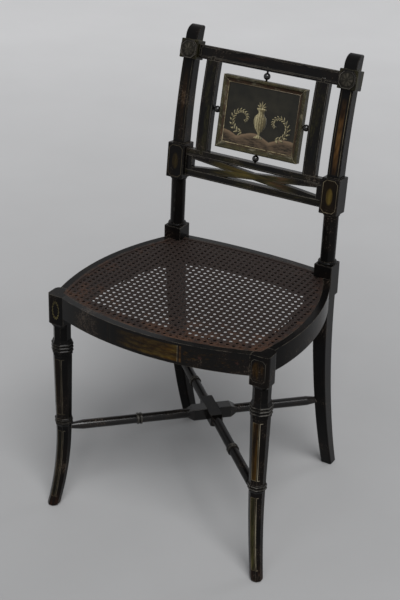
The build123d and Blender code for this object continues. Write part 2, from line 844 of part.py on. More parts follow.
def square_cross():
    """The squared middle where the two stretchers cross."""
    half = cross_length / 2
    body = chamfer(Box(cross_length, cross_block, cross_block).edges(), edge_ease)
    for side in (-1, 1):
        wide = Pos(side * (half - edge_ease), 0, 0) * Rot(0, 90, 0)
        small = Pos(side * (half + cross_shoulder), 0, 0) * Rot(0, 90, 0)
        end = arm_diameter - shoulder_sink
        wide_face = wide * Rectangle(cross_block - edge_ease, cross_block - edge_ease)
        body = body + lofted([wide_face, small * Rectangle(end, end)])
    return Pos(cross_distance(), 0, 0) * body


def dowel(distance, slack=0.0):
    """A turned tongue centred at a distance along the stretcher."""
    long = 2 * (dowel_length + (joint_end_gap if slack else 0))
    rod = Rot(0, 90, 0) * Cylinder(dowel_diameter / 2 + slack, long)
    return Pos(distance, 0, 0) * rod


def front_dowel_distance():
    return ankle_flats / 2


def stretcher_dowel_front(slack):
    """The bore in the right front leg: the mirror of the first stretcher's front end."""
    return mirrored(on_stretcher(dowel(front_dowel_distance(), slack)))


def rear_dowel_distance():
    length, _ = stretcher_run()
    return length - rear_leg_waist_width / 2


def stretcher_dowel_rear(slack):
    return on_stretcher(dowel(rear_dowel_distance(), slack))


def plain_stretcher(right_front, right_rear):
    """The first stretcher, shouldered to its two legs and before it is lapped."""
    stick = on_stretcher(arm_solid() + square_cross())
    stick = stick - mirrored(right_front) - right_rear
    stick = stick.solids().sort_by(SortBy.VOLUME)[-1]
    ends = on_stretcher(dowel(front_dowel_distance())) + on_stretcher(dowel(rear_dowel_distance()))
    return stick + ends


def lap_box(upper):
    """Half the height of the first stretcher's square, over the other's width."""
    body = Box(cross_length, cross_block, cross_block)
    shift = cross_block / 2 if upper else -cross_block / 2
    return on_stretcher(Pos(cross_distance(), 0, shift) * body)


# ================================================================ all parts
def build_parts():
    leg = front_leg()
    post = rear_post()
    solid_leg = leg_block_solid() + leg_upper() + leg_lower()
    stretcher = plain_stretcher(solid_leg, rear_leg())
    side_rail = seat_rail_side()
    one_patera = patera()
    parts = {
        "front_leg_right": leg,
        "front_leg_left": mirrored(leg),
        "rear_post_right": post,
        "rear_post_left": mirrored(post),
        "seat_rail_front": seat_rail_front(),
        "seat_rail_right": side_rail,
        "seat_rail_left": mirrored(side_rail),
        "seat_rail_back": seat_rail_back(),
        "cane_panel": cane_panel(),
        "cane_binding": cane_binding(),
        "top_rail": top_rail(),
        "mid_rail": mid_rail(),
        "lower_rail": back_rail(LOWER),
        "lattice_bar_rising": lattice_bar(1),
        "lattice_bar_falling": lattice_bar(-1),
        "lattice_stile_right": lattice_stile(1),
        "lattice_stile_left": lattice_stile(-1),
        "inner_stile_right": inner_stile(1),
        "inner_stile_left": inner_stile(-1),
        "tablet_panel": tablet_panel(),
        "patera_right": one_patera,
        "patera_left": mirrored(one_patera),
        "stretcher_left": stretcher - mirrored(lap_box(True)),
        "stretcher_right": mirrored(stretcher) - lap_box(False),
    }
    for side in ("top", "bottom", "left", "right"):
        parts["tablet_moulding_" + side] = tablet_moulding(side)
        parts["tablet_ball_" + side] = tablet_ball(side)
    parts["tablet_pins"] = [pin(side) for side in ("top", "bottom", "left", "right")]
    return parts


def write_parts(parts):
    os.makedirs("parts", exist_ok=True)
    for name, shape in parts.items():
        solids = shape if isinstance(shape, list) else shape.solids()
        body = solids[0] if len(solids) == 1 else Compound(children=list(solids))
        export_step(body, "parts/" + name + ".step")
        print(name, len(solids), "solid(s)")


write_parts(build_parts())
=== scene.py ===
# %% [markdown]
# # An ebonised chair with gilt lines and a caned seat
# The joiner's work is already done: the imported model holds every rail, leg and block as a solid
# at its true size. This lesson gives those solids their paint, gilding and wear, weaves the cane
# seat strand by strand, and paints the little tablet in the back.

from math import asin, atan2, cos, pi, radians, sin, sqrt, tau

import bmesh
import bpy
from mathutils import Matrix, Vector


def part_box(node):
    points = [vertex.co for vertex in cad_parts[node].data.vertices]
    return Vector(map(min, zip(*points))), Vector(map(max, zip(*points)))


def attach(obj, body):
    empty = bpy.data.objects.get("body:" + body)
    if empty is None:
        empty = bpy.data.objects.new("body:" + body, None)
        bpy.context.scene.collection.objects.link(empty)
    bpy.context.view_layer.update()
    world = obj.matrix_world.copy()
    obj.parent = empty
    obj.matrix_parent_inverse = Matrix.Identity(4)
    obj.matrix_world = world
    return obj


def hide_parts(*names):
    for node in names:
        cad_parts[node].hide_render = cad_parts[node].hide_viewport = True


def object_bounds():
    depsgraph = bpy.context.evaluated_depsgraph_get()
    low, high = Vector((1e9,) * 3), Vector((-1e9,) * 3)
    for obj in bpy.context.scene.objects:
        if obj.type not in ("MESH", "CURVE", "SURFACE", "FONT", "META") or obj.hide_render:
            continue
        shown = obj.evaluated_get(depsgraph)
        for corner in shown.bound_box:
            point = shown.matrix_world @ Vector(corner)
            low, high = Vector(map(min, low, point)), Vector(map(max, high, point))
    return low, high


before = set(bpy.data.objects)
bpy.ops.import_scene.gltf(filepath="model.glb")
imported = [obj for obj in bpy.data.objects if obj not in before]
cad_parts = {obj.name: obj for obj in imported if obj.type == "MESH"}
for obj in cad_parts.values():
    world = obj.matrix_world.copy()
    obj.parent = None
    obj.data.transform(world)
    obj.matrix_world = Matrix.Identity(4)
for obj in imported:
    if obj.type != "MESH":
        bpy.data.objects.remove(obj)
cad_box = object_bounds()


def rounded(box):
    return [[round(c, 4) for c in corner] for corner in box]


print("CAD box", rounded(cad_box))

# %% [markdown]
# ## Sizes that the looks need
# Most places come from the frame itself. The few sizes below say where a facet, a bow or the
# lean of the back lies, so that a painted line can follow it. All are in metres. A front foot
# swings out by its kick and the back leans, each along an arc from its own start.

# %% Sizes of the frame
MM = 0.001
front_y = cad_box[0].y
rim_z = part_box("seat_rail_front")[1].z
leg_x, leg_y = 206.2 * MM, front_y + 56.2 * MM
post_x, post_y = 162.6 * MM, front_y + 370.8 * MM
post_in = post_x - 18 * MM
kick_start, kick = 178 * MM, 16.5 * MM
kick_radius = (kick_start ** 2 + kick ** 2) / (2 * kick)
back_start, back_radius = 496 * MM, 1130 * MM
back_recess = 7 * MM
tablet_z = 724 * MM


def face_y(z):
    """Where the front of a post is at a height above the seat."""
    return post_y + back_radius - sqrt(back_radius ** 2 - max(z - back_start, 0) ** 2)


def lean(z):
    """How far the back leans at a height, in radians."""
    return asin(max(z - back_start, 0) / back_radius)


def back_place(z, depth=0.0):
    """A frame on the back's middle: its Y runs into the back and its Z up along it."""
    turned = Matrix.Translation((0, face_y(z), z)) @ Matrix.Rotation(-lean(z), 4, "X")
    return turned @ Matrix.Translation((0, depth, 0))


print("rim height", round(rim_z, 4), "lean at the tablet", round(lean(tablet_z), 4))

# %% [markdown]
# ## Arithmetic that turns into shader nodes
# Every gilt line on this chair is a rule about places: so far from an edge, between two heights,
# on faces that look forward. Such a rule is easy to read as arithmetic and hard to read as forty
# Math nodes, so a small class lets Python's own signs build the nodes.

# %% A field is what varies over the surface: a number, a place or a color
class Field:
    """Arithmetic on a field adds Math nodes to its tree."""

    def __init__(self, socket):
        self.socket = socket
        self.tree = socket.id_data      # the node tree that the socket belongs to

    def math(self, operation, *others, clamp=False):
        inputs = dict(enumerate((self, *others)))
        node = add_node(self.tree, "Math", inputs, operation=operation, use_clamp=clamp)
        return Field(node.outputs[0])

    def __add__(self, other):
        return self.math("ADD", other)

    def __sub__(self, other):
        return self.math("SUBTRACT", other)

    def __mul__(self, other):
        return self.math("MULTIPLY", other)

    def __truediv__(self, other):
        return self.math("DIVIDE", other)

    def __abs__(self):
        return self.math("ABSOLUTE")

    def ramp(self, low, high):
        """Stretches the field so that low becomes 0 and high becomes 1."""
        inputs = {"Value": self, "From Min": low, "From Max": high}
        return Field(add_node(self.tree, "MapRange", inputs, clamp=True).outputs["Result"])

    def mix(self, first, second):
        """The first color where the field is 0 and the second where it is 1."""
        inputs = {"Factor": self, "A": first, "B": second}
        return Field(add_node(self.tree, "Mix", inputs, data_type="RGBA").outputs["Result"])

    def stretched(self, scale):
        """The same places scaled by a different amount along each axis."""
        inputs = {"Vector": self, "Scale": scale}
        return Field(add_node(self.tree, "Mapping", inputs).outputs["Vector"])

    def noise(self, scale, detail=4.0, roughness=0.55):
        inputs = {"Vector": self, "Scale": scale, "Detail": detail, "Roughness": roughness}
        return Field(add_node(self.tree, "TexNoise", inputs).outputs["Fac"])

    def through(self, group, **values):
        """Places a node group that works on these places and returns what it puts out."""
        return fields(add_node(self.tree, "Group", {"Vector": self, **values}, node_tree=group))


def add_node(tree, kind, inputs, **settings):
    """A shader node with its settings made and its inputs fed, in that order."""
    node = tree.nodes.new("ShaderNode" + kind)
    for label, value in settings.items():
        setattr(node, label, value)
    for label, value in inputs.items():
        feed(node.inputs[label], value)
    return node


def feed(slot, value):
    """Gives an input a field, a color of three numbers or a plain value."""
    if isinstance(value, Field):
        value.tree.links.new(value.socket, slot)
    else:
        slot.default_value = (*value, 1) if slot.type == "RGBA" else value


def fields(node):
    """A node's outputs by name."""
    return {socket.name: Field(socket) for socket in node.outputs}


print("+ - * / and abs make nodes")

# %% Edges and strokes
SOFT = 0.25 * MM


def below(field, edge, soft=SOFT):
    """1 where the field is under the edge and 0 over it, with a soft step between."""
    return ((field - edge) * (-1 / soft)).math("ADD", 0.5, clamp=True)


def above(field, edge, soft=SOFT):
    return ((field - edge) * (1 / soft)).math("ADD", 0.5, clamp=True)


def stroke(field, place, width, soft=SOFT):
    """A painted line of a width where the field passes a place."""
    return below(abs(field - place), width / 2, soft)


def either(first, *others):
    """The largest of several fields."""
    for other in others:
        first = first.math("MAXIMUM", other)
    return first


def length2(a, b):
    """Distance from the place where both fields are 0."""
    return (a * a + b * b).math("SQRT")


print("a painted edge fades over", SOFT / MM, "mm")

# %% Places on the chair
FRONT_FACING = -0.6


def surface(vector):
    """Place x, y, z and facing x, y, z of the surface, in the chair's own axes."""
    normal = fields(add_node(vector.tree, "TexCoord", {}))["Normal"]
    parts = [add_node(vector.tree, "SeparateXYZ", {0: whole}) for whole in (vector, normal)]
    return [part for node in parts for part in fields(node).values()]


def on_front(ny):
    """1 on faces that look to the front, those of the leaning back among them."""
    return below(ny, FRONT_FACING, 0.1)


def up_back(z, middle):
    """Distance along the leaning back from the height called middle."""
    return (z - middle) / cos(lean(middle))


print("front faces have a normal y under", FRONT_FACING)

# %% [markdown]
# ## Aged black paint and worn gilding
# Ebonised wood is a thin black paint under varnish. Two centuries give it a brown cast where the
# varnish has gone amber, fine streaks along the brushed direction, and patches that shine less.
# The gilding is leaf or bronze powder over that black, so it fails in specks that show the paint.
# Both finishes are used by many materials, so each is a node group with its own inputs. A noise's
# scale counts its features per metre: 17 gives patches of some 6 cm, 420 specks of 2 mm.

# %% Aged black paint
BLACK, AMBER_BLACK = (0.0032, 0.0030, 0.0030), (0.0110, 0.0068, 0.0044)
SCUFF = (0.055, 0.042, 0.032)
BRUSHED_UP = (260, 260, 34)


def new_group(name, inputs, **outputs):
    """A node group with named sockets; returns it, its inputs as fields and its end's inputs."""
    group = bpy.data.node_groups.new(name, "ShaderNodeTree")
    for label, (kind, value) in inputs.items():
        socket = group.interface.new_socket(label, in_out="INPUT", socket_type="NodeSocket" + kind)
        if value is not None:
            socket.default_value = (*value, 1) if kind == "Color" else value
    for label, kind in outputs.items():
        group.interface.new_socket(label, in_out="OUTPUT", socket_type="NodeSocket" + kind)
    start, end = group.nodes.new("NodeGroupInput"), group.nodes.new("NodeGroupOutput")
    return group, fields(start), end.inputs


inputs = {"Vector": ("Vector", None), "Brown": ("Float", 0.4)}
aged_black, given, end = new_group("aged_black", inputs, Color="Color", Roughness="Float",
                                   Height="Float")
patches = given["Vector"].noise(17, 5)
streaks = given["Vector"].stretched(BRUSHED_UP).noise(1, 3)
specks = given["Vector"].noise(420, 2)
amber = patches.ramp(0.42, 0.72) * given["Brown"]
scuffs = (specks * patches).ramp(0.345, 0.41)
feed(end["Color"], scuffs.mix(amber.mix(BLACK, AMBER_BLACK), SCUFF))
feed(end["Roughness"], streaks * 0.16 + patches * 0.20 + 0.05)
feed(end["Height"], streaks * 0.5 + specks * 0.3)
print("group", aged_black.name, len(aged_black.nodes), "nodes")

# %% [markdown]
# Hands, cloths and knocks wear the paint first along its edges, where grey undercoat and wood show
# in a broken line. The Bevel node gives the normal that a softened edge would have, so the place
# where it differs from the true normal is the edge, on every piece and without measuring any.

# %% Worn edges
WORN_EDGE = (0.115, 0.101, 0.080)
inputs = {"Vector": ("Vector", None), "Width": ("Float", 1.8 * MM), "Amount": ("Float", 0.5)}
edge_wear, given, end = new_group("edge_wear", inputs, Mask="Float")
softened = add_node(edge_wear, "Bevel", {"Radius": given["Width"]}, samples=6)
true = add_node(edge_wear, "NewGeometry", {})
normals = {0: fields(softened)["Normal"], 1: fields(true)["Normal"]}
alike = fields(add_node(edge_wear, "VectorMath", normals, operation="DOT_PRODUCT"))["Value"]
sharp = (alike * -1 + 1.0).ramp(0.03, 0.22)
rubs = given["Vector"].noise(35, 3) * 0.6
chips = given["Vector"].noise(380, 3, 0.65) * 0.4
kept = (rubs + chips) - (given["Amount"] * -0.3 + 0.62)
feed(end["Mask"], sharp * kept.ramp(-0.05, 0.07))
print("group", edge_wear.name, len(edge_wear.nodes), "nodes")

# %% [markdown]
# Polishing takes gilding off in broad rubs, and the leaf lets go of the paint in small specks.
# One noise can't do both, so a coarse and a fine one are added, and the wear sets how high their
# sum has to be for gold to stay. Both are stretched along the grain, as a cloth is drawn.

# %% Worn gilding
inputs = {
    "Vector": ("Vector", None),
    "Mask": ("Float", 1.0),
    "Wear": ("Float", 0.4),
    "Bright": ("Color", (0.3, 0.25, 0.15)),
    "Dull": ("Color", (0.1, 0.08, 0.045)),
    "Grain": ("Vector", (1.0, 1.0, 0.3)),
}
worn_gilt, given, end = new_group("worn_gilt", inputs, Mask="Float", Color="Color")
drawn = {0: given["Vector"], 1: given["Grain"]}
place = fields(add_node(worn_gilt, "VectorMath", drawn, operation="MULTIPLY"))["Vector"]
specks = place.noise(520, 4, 0.7)
rubs = place.noise(60, 3)
kept = (specks * 0.45 + rubs * 0.55) - (given["Wear"] * 0.34 + 0.33)
feed(end["Mask"], kept.ramp(-0.06, 0.06) * given["Mask"])
tone = place.noise(150, 4).ramp(0.36, 0.66)
feed(end["Color"], tone.mix(given["Dull"], given["Bright"]))
print("group", worn_gilt.name, len(worn_gilt.nodes), "nodes")

# %% [markdown]
# ## One recipe for every painted piece
# A gilt line is pale where the leaf is whole and brown where dirt has stayed, so each finish is
# a pair of colors, bright and dull. The painter blacked the whole chair and then laid gilding in
# layers, so one recipe serves all the wood, and only a piece's list of layers is its own.

# %% Bright and dull color of each gilding
PALE_LINE = ((0.30, 0.25, 0.155), (0.105, 0.082, 0.050))
GREY_LINE = ((0.12, 0.11, 0.092), (0.040, 0.036, 0.030))
AMBER = ((0.070, 0.034, 0.004), (0.014, 0.007, 0.002))
YELLOW = ((0.105, 0.074, 0.018), (0.033, 0.019, 0.006))
OLIVE = ((0.052, 0.047, 0.016), (0.018, 0.016, 0.007))
RUST = ((0.045, 0.018, 0.009), (0.014, 0.007, 0.005))
PINK = ((0.110, 0.042, 0.032), (0.034, 0.014, 0.011))
print("a whole pale line is", round(PALE_LINE[0][0] / PALE_LINE[1][0], 1), "times a dull one")


# %% Helpers for materials
def object_places(tree):
    return fields(add_node(tree, "TexCoord", {}))["Object"]


def new_material(name):
    """A material and the places that its patterns follow."""
    material = bpy.data.materials.new(name)
    material.use_nodes = True
    return material, object_places(material.node_tree)


def set_finish(material, color, rough, height=None, depth=0.0, metal=0.0, shine=0.5):
    """Feeds the material's shader. A height makes a bump of a depth in metres, and shine, the
    same all over, is set on the shader's own socket."""
    shader = material.node_tree.nodes["Principled BSDF"]
    shader.inputs["Specular IOR Level"].default_value = shine
    for label, value in (("Base Color", color), ("Roughness", rough), ("Metallic", metal)):
        feed(shader.inputs[label], value)
    if height is not None:
        inputs = {"Height": height, "Distance": depth, "Strength": 0.5}
        bump = add_node(material.node_tree, "Bump", inputs)
        feed(shader.inputs["Normal"], fields(bump)["Normal"])
    return material


def dress(material, *names):
    """Gives CAD nodes a material."""
    for name in names:
        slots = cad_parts[name].data.materials
        slots.clear()
        slots.append(material)
    print(material.name, "on", ", ".join(names))


print(len(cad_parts), "nodes to dress")

# %% The recipe
UPRIGHT, LEVEL = (1.0, 1.0, 0.14), (0.14, 1.0, 1.0)
GILT_METAL, GILT_ROUGH = 0.15, 0.15


def painted(name, brown=0.4, layers=None, grain=UPRIGHT, shine=0.13):
    """Black paint with layers of gilding; layers(x, y, z, nx, ny, nz) lists
    (mask, wear, (bright, dull)) from the lowest layer up. Rubbing follows the grain."""
    material, vector = new_material(name)
    base = vector.through(aged_black, Brown=brown)
    edges = vector.through(edge_wear)["Mask"]
    color, rough, metal, gilded = edges.mix(base["Color"], WORN_EDGE), base["Roughness"], 0.0, []
    for mask, wear, (bright, dull) in (layers(*surface(vector)) if layers else []):
        leaf = vector.through(worn_gilt, Mask=mask, Wear=wear, Bright=bright, Dull=dull,
                              Grain=grain)
        color = leaf["Mask"].mix(color, leaf["Color"])
        gilded.append(leaf["Mask"])
    if gilded:
        rough = rough + either(*gilded) * GILT_ROUGH
        metal = either(*gilded) * GILT_METAL
    return set_finish(material, color, rough, base["Height"], 0.05 * MM, metal, shine)


dress(painted("plain_black", 0.35), "lattice_stile_left", "lattice_stile_right", "seat_rail_back",
      "tablet_pins")

# %% [markdown]
# ## Gilding on the front legs
# Each leg is an eight-sided stick. A gilder runs a fine line inside the edges of a facet, so the
# useful number is the distance to the facet's long edge. On an octagon that distance follows
# from the larger and smaller of the two offsets from the axis, with no need to know which facet
# it is. The foot slides outward along an arc, so the axis moves with it.

# %% Octagon rule
DIAGONAL = 1 / sqrt(2)
FACET_SHARE = sqrt(2) - 1


def facet_fields(x, y, z):
    """Distance to the facet's long edge, and how much further forward than sideways a point is."""
    run = (z * -1 + kick_start).math("MAXIMUM", 0.0)
    slide = ((run * run) * -1 + kick_radius ** 2).math("SQRT") * -1 + kick_radius
    dx = abs(abs(x) - leg_x - slide)
    dy = abs(y - leg_y + slide)
    wide = dx.math("MAXIMUM", dy)
    narrow = dx.math("MINIMUM", dy)
    apothem = wide.math("MAXIMUM", (wide + narrow) * DIAGONAL)
    across = narrow.math("MINIMUM", (wide - narrow) * DIAGONAL)
    return apothem * FACET_SHARE - across, dy - dx


def panel_distance(u, v, half_u, half_v, cut):
    """How far inside a rectangle with cut corners a point is: positive inside."""
    edge_u = abs(u) * -1 + half_u
    edge_v = abs(v) * -1 + half_v
    corner = (edge_u + edge_v - cut) * DIAGONAL
    return edge_u.math("MINIMUM", edge_v).math("MINIMUM", corner)


def within(z, low, high):
    """How far inside a stretch of height a point is: positive inside."""
    return (z * -1 + high).math("MINIMUM", z - low)


print("a facet takes", round(FACET_SHARE, 3), "of an octagon's width")

# %% Rings and blocks of the front legs
# pale of the line beside the front facet: gilt line and painted highlight
LINE_AND_HIGHLIGHT = ((0.44, 0.39, 0.28), (0.15, 0.125, 0.085))
# grey of the ring shoulders: worn gilding and painted highlight
GILT_AND_GLINT_GREY = ((0.22, 0.21, 0.185), (0.060, 0.056, 0.048))
OLIVE_LINE = ((0.15, 0.125, 0.05), (0.055, 0.045, 0.02))
capital_top, mid_ring_top, bead_pitch = 355 * MM, 194 * MM, 6.4 * MM
shaft_middle = 260 * MM
block_x, block_z, block_low = leg_x + 0.2 * MM, 425 * MM, 398 * MM


def ring_gilt_and_glints(z):
    """Painted highlight with some worn gilding along the upper shoulder of each bead, three in the
    capital and two at the shaft's foot.
    """
    capital = above(z, shaft_middle)
    beads_down = (capital * (capital_top - mid_ring_top) + mid_ring_top - z) / bead_pitch
    beaded = above(beads_down, 0.0, 0.1) * below(beads_down, capital + 2.0, 0.1)
    return stroke(beads_down.math("FRACT"), 0.30, 0.2, 0.1) * beaded


def block_layers(x, z, ny, right):
    """A thin outline and rubbed foliage on the right block, a small laurel oval on the left."""
    left = right * -1 + 1.0
    u = abs(x) - block_x
    v = z - block_z
    face = above(z, block_low) * below(ny, -0.75, 0.1)
    outline = stroke(panel_distance(u, v, 13.4 * MM, 21 * MM, 5 * MM), 0, 0.8 * MM) * face * right
    patch = below(length2(u / (9 * MM), v / (15 * MM)), 1.0, 0.8) * face * right
    ring = length2(u / (6.6 * MM), v / (16 * MM))
    leaves = (v.math("ARCTAN2", u * 2.4) * 15).math("SINE") * 0.12
    laurel = stroke(ring + leaves, 1.0, 0.16, 0.08) * face * left
    return [(patch, 0.42, AMBER), (laurel, 0.20, OLIVE_LINE), (outline * 0.7, 0.25, GREY_LINE)]


print("capital beads down to", round(capital_top - 3 * bead_pitch, 4))

# %% Front legs
shaft_panel, foot_panel = (204 * MM, 324 * MM), (22 * MM, 170 * MM)
line_inset = 1.3 * MM
toe_height = 26 * MM


def leg_layers(x, y, z, nx, ny, nz):
    """Lines inside the facets, a rubbed stripe on the front one, the rings' worn gilding and
    painted highlights, and the block's ornament. The right leg has kept far more of its color than
    the left."""
    edge, forward = facet_fields(x, y, z)
    right = above(x, 0.0)
    inside = edge.math("MINIMUM", either(within(z, *shaft_panel), within(z, *foot_panel)))
    front = below(ny, -0.85, 0.1)
    # the half of the next facet to the right that lies beside the front one and faces the light;
    # its line is a gilt line and a painted highlight together
    lit_beside = below(ny, -0.3, 0.1) * above(nx, 0.3, 0.1) * above(forward, 0.0)
    first = stroke(inside, line_inset, 0.75 * MM) * front * (right * 0.3 + 0.35)
    second = stroke(inside, line_inset, 0.9 * MM) * lit_beside * (right * 0.75 + 0.25)
    shaded = abs(x).ramp(leg_x - 7 * MM, leg_x + 3 * MM) * 0.7 + 0.3
    fill = above(inside, 1.9 * MM, 0.6 * MM) * front * (right * 0.85 + 0.1) * shaded
    shaft = above(z, mid_ring_top)
    foot = shaft * -1 + 1.0
    toe = below(z, toe_height, 30 * MM) * 0.5
    return [(toe, 0.45, RUST), (fill * shaft, 0.12, AMBER), (fill * foot, 0.30, OLIVE),
            (ring_gilt_and_glints(z) * (right * 0.45 + 0.2), 0.46, GILT_AND_GLINT_GREY),
            (first, 0.18, PALE_LINE), (second, 0.14, LINE_AND_HIGHLIGHT), *block_layers(x, z, ny, right)]


dress(painted("gilded_leg", 0.5, leg_layers, shine=0.08), "front_leg_left", "front_leg_right")

# %% [markdown]
# ## Gilding on the rear posts
# A post is square above the seat, so here the rules are simple offsets from its centre line. The
# blocks carry a cut-corner panel with an oval, the shaft has two lines and a rubbed stripe of
# warm gold, and the turned column has a faint column of small drops. Each part of the post is a
# band with a middle and a height.

# %% Rear posts
AMBER_RUST = ((0.110, 0.056, 0.018), (0.022, 0.010, 0.004))
DEEP_BROWN = ((0.013, 0.008, 0.0035), (0.007, 0.0045, 0.0025))
COLUMN, LOW_BLOCK = (532 * MM, 66 * MM), (613.75 * MM, 66 * MM)
SHAFT, TOP_BLOCK = (727 * MM, 150 * MM), (823 * MM, 34 * MM)
drop_start, drop_pitch = 504 * MM, 19 * MM


def post_layers(x, y, z, nx, ny, nz):
    """The right post has kept its warm stripe and its gold oval; the left one shows traces."""
    u = abs(x) - post_x
    v = up_back(z, LOW_BLOCK[0])
    right = above(x, 0.0)
    front = on_front(ny)
    on_block = stroke(z, *LOW_BLOCK) * front
    panel = panel_distance(u, v, 14.2 * MM, 30.5 * MM, 6 * MM)
    block_line = stroke(panel, 0, 0.8 * MM) * on_block
    ground = above(panel, 1 * MM) * on_block * (right * 0.8)
    oval = below(length2(u / (6.4 * MM), v / (15 * MM)), 1.0, 0.3) * on_block
    on_shaft = stroke(z, *SHAFT) * front
    # the right-hand line of each post is drawn stronger than the left-hand one
    right_hand = above(u * (right * 2 - 1), 0.0) * 0.65 + 0.35
    shaft_lines = stroke(abs(u), 8.6 * MM, 0.7 * MM) * on_shaft * (right * 0.6 + 0.25) * right_hand
    fading = below(abs(z - 714 * MM), 50 * MM, 52 * MM)
    stripe = below(abs(u), 4.3 * MM, 2.6 * MM) * on_shaft * fading * (right * 0.8 + 0.2)
    on_column = stroke(z, *COLUMN) * below(ny, -0.3, 0.2)
    step = ((z - drop_start) / drop_pitch).math("FRACT") - 0.5
    drops = below(length2(u / (2.0 * MM), step * 4.2), 1.0, 0.2) * on_column
    return [
        (stripe, 0.22, AMBER_RUST),
        (stroke(z, *TOP_BLOCK) * 0.5, 0.45, OLIVE),
        (ground, 0.30, DEEP_BROWN),
        (oval * (right * 0.65 + 0.25), 0.10, YELLOW),
        (drops * 0.3, 0.50, GREY_LINE),
        (either(block_line * (right * 0.4 + 0.35), shaft_lines), 0.14, PALE_LINE),
    ]


dress(painted("gilded_post", 0.45, post_layers, shine=0.09), "rear_post_left", "rear_post_right")

# %% [markdown]
# ## Gilding on the rails, the stiles and the lattice
# These are straight boards on the leaning back. Each gets a line near both edges, so one recipe
# serves them all: it needs the board's middle and half its width, across the grain.

# %% Boards of the back
def edge_lines(middle, half, upright=False, inset=1.5 * MM):
    """Layers for a board: fine lines along both long edges of its front."""
    def layers(x, y, z, nx, ny, nz):
        across = abs(x) - middle if upright else up_back(z, middle)
        front = on_front(ny)
        lines = stroke(abs(across), half - inset, 0.7 * MM) * front
        stain = below(abs(across), half - 2 * inset, 2 * MM) * front * 0.4
        return [(stain, 0.62, OLIVE), (lines, 0.30, GREY_LINE)]
    return layers


def board_middle(name):
    low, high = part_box(name)
    return (low + high) / 2


mid_rail_z, lower_rail_z = 634.35 * MM, 593.4 * MM
dress(painted("gilded_mid_rail", 0.4, edge_lines(mid_rail_z, 6.55 * MM), LEVEL), "mid_rail")
dress(painted("gilded_lower_rail", 0.4, edge_lines(lower_rail_z, 6.6 * MM), LEVEL), "lower_rail")
inner_x = board_middle("inner_stile_right").x
dress(painted("gilded_stile", 0.55, edge_lines(inner_x, 13.25 * MM, True, 2.4 * MM)),
      "inner_stile_left", "inner_stile_right")

# %% Crest rail
crest_z = 821.75 * MM


def crest_layers(x, y, z, nx, ny, nz):
    """Fine grey lines on the raised edges and the last traces of red in the sunk field."""
    v = up_back(z, crest_z)
    front = on_front(ny)
    lines = stroke(abs(v), 9.3 * MM, 0.7 * MM) * front
    traces = below(abs(v), 6 * MM, 3 * MM) * front
    return [(traces * 0.35, 0.70, RUST), (lines, 0.32, GREY_LINE)]


dress(painted("gilded_crest", 0.5, crest_layers, LEVEL), "top_rail")

# %% Crossed bars
lattice_z = 613.9 * MM
bar_run, bar_rise = 2 * (post_in - 13 * MM), 27.8 * MM


def lattice_layers(x, y, z, nx, ny, nz):
    """Faint lines along each diagonal; olive, yellow and pink rubbed together at the crossing."""
    slope = bar_rise / bar_run
    tilt = cos(atan2(bar_rise, bar_run))
    v = up_back(z, lattice_z)
    rising = (v - x * slope) * tilt
    falling = (v + x * slope) * tilt
    across = abs(rising).math("MINIMUM", abs(falling))
    front = on_front(ny)
    lines = stroke(across, 4.6 * MM, 0.7 * MM) * front
    centre = below(abs(x), 66 * MM, 60 * MM) * front
    reddish = stroke(x, 46 * MM, 40 * MM, 20 * MM) * front
    return [(centre, 0.20, OLIVE), (centre * 0.7, 0.52, YELLOW), (reddish * 0.6, 0.5, PINK),
            (lines * 0.8, 0.40, GREY_LINE)]


dress(painted("gilded_lattice", 0.6, lattice_layers, LEVEL),
      "lattice_bar_rising", "lattice_bar_falling")

# %% [markdown]
# ## The seat rails
# The front rail is the show side. Its middle panel of foliage grows from dark at the left to
# amber and yellow at its right end, where two upright lines close it. The wings beside it
# keep only a few small red flowers. The side rails are plain polished black.

# %% Front and side rails
front_rail_z = board_middle("seat_rail_front").z
flower_pitch = 31 * MM


def front_rail_layers(x, y, z, nx, ny, nz):
    """An amber fill behind leafy yellow in the panel that rises from left to right, its closing
    lines, and the wings' flowers.
    """
    v = z - front_rail_z
    front = on_front(ny)
    right = above(x, 0.0)
    centre = panel_distance(x, v, 68 * MM, 15.5 * MM, 0)
    in_panel = above(centre, 0.5 * MM, 2 * MM) * front
    rising_to_right = x.ramp(-60 * MM, 52 * MM)
    vector = object_places(x.tree).stretched((0.45, 1, 1.7))
    leafy = vector.noise(125, 5, 0.6).ramp(0.47, 0.60)
    tall = stroke(v, 0, 31 * MM) * front * (right * 0.92 + 0.08)
    line = stroke(abs(x), 68 * MM, 0.9 * MM) * tall
    band = stroke(abs(x), 73 * MM, 3.5 * MM, 2 * MM) * tall
    wing = panel_distance(abs(x) - 130 * MM, v, 52 * MM, 15 * MM, 5 * MM)
    step = ((abs(x) / flower_pitch).math("FRACT") - 0.5) * flower_pitch
    petals = (v.math("ARCTAN2", step) * 5).math("COSINE") * (1.0 * MM) + 3.2 * MM
    flowers = below(length2(step, v) - petals, 0.0, 2 * MM) * above(wing, 3 * MM) * front
    sprays = vector.noise(150, 4, 0.6).ramp(0.55, 0.66)
    sprays = sprays * above(wing, 1 * MM, 3 * MM) * front
    return [
        (in_panel * (rising_to_right * 0.9), 0.16, AMBER),
        (in_panel * rising_to_right * leafy * 0.9, 0.15, YELLOW),
        (band * 0.8, 0.25, AMBER_RUST),
        (sprays * (right * 0.5 + 0.1), 0.45, AMBER),
        (flowers * (right * 0.55 + 0.15), 0.58, PINK),
        (line * 0.75, 0.12, PALE_LINE),
    ]


dress(painted("gilded_front_rail", 0.5, front_rail_layers, LEVEL), "seat_rail_front")
dress(painted("polished_side_rail", 0.45, shine=0.05), "seat_rail_left", "seat_rail_right")

# %% [markdown]
# ## Stretchers, paterae and balls
# The turner's rings catch the light with what is left of their gilding. It sits on the crest of
# a ring, so the rule is the distance from the stretcher's own axis, which runs from a front leg
# to the opposite rear one. The square block where the two cross was never gilded, so it is left
# out by its place along that axis.

# %% Stretchers
stretcher_z = board_middle("stretcher_left").z
cross_along, cross_clear = 285.8 * MM, 60 * MM


